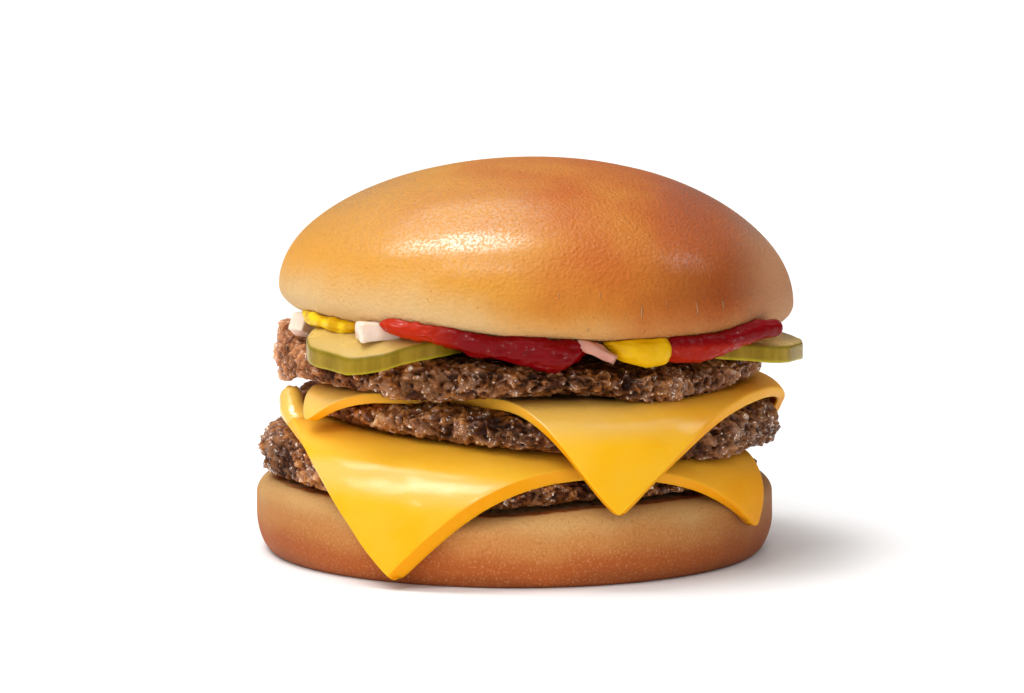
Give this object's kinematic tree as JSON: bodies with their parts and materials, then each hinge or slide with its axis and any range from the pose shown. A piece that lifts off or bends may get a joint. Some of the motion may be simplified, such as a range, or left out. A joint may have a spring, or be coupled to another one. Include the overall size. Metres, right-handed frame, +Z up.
{
  "type": "triple cheeseburger",
  "caption": "Stacked cheeseburger in a domed glossy bun: thin beef patties, folded cheese slices with hanging corners, pickle slices, onion bits, mustard and ketchup.",
  "frame": {"origin": "middle of the heel's flat base, where the burger rests", "axes": "+Z is up through the crown, -Y is the dressed side with the longest hanging cheese corners, +X is to the right of that side"},
  "size_m": [0.1065, 0.1046, 0.0766],
  "materials": {
    "bun_crust": "baked bun crust, glossy on the crown, dry and toasted on the heel",
    "seared_beef": "coarse ground beef, seared dark brown, wet with fat in spots",
    "processed_cheese": "smooth warm processed cheese, softly glossy and slightly translucent",
    "pickled_cucumber": "wet pickle slice, olive skin round a pale translucent face",
    "raw_onion": "wet chopped onion, pinkish white",
    "yellow_mustard": "smooth wet mustard",
    "tomato_ketchup": "thick glossy ketchup"
  },
  "bodies": {
    "root": {"bun_heel": "bun_crust", "bun_crown": "bun_crust", "patty_lower": "seared_beef", "patty_middle": "seared_beef", "patty_upper": "seared_beef", "cheese_lower": "processed_cheese", "cheese_upper": "processed_cheese", "pickle_left": "pickled_cucumber", "pickle_right": "pickled_cucumber", "onion_left": "raw_onion", "onion_mid": "raw_onion", "onion_right": "raw_onion", "mustard_left": "yellow_mustard", "mustard_right": "yellow_mustard", "ketchup_left": "tomato_ketchup", "ketchup_mid": "tomato_ketchup", "ketchup_right": "tomato_ketchup"}
  },
  "joints": []
}
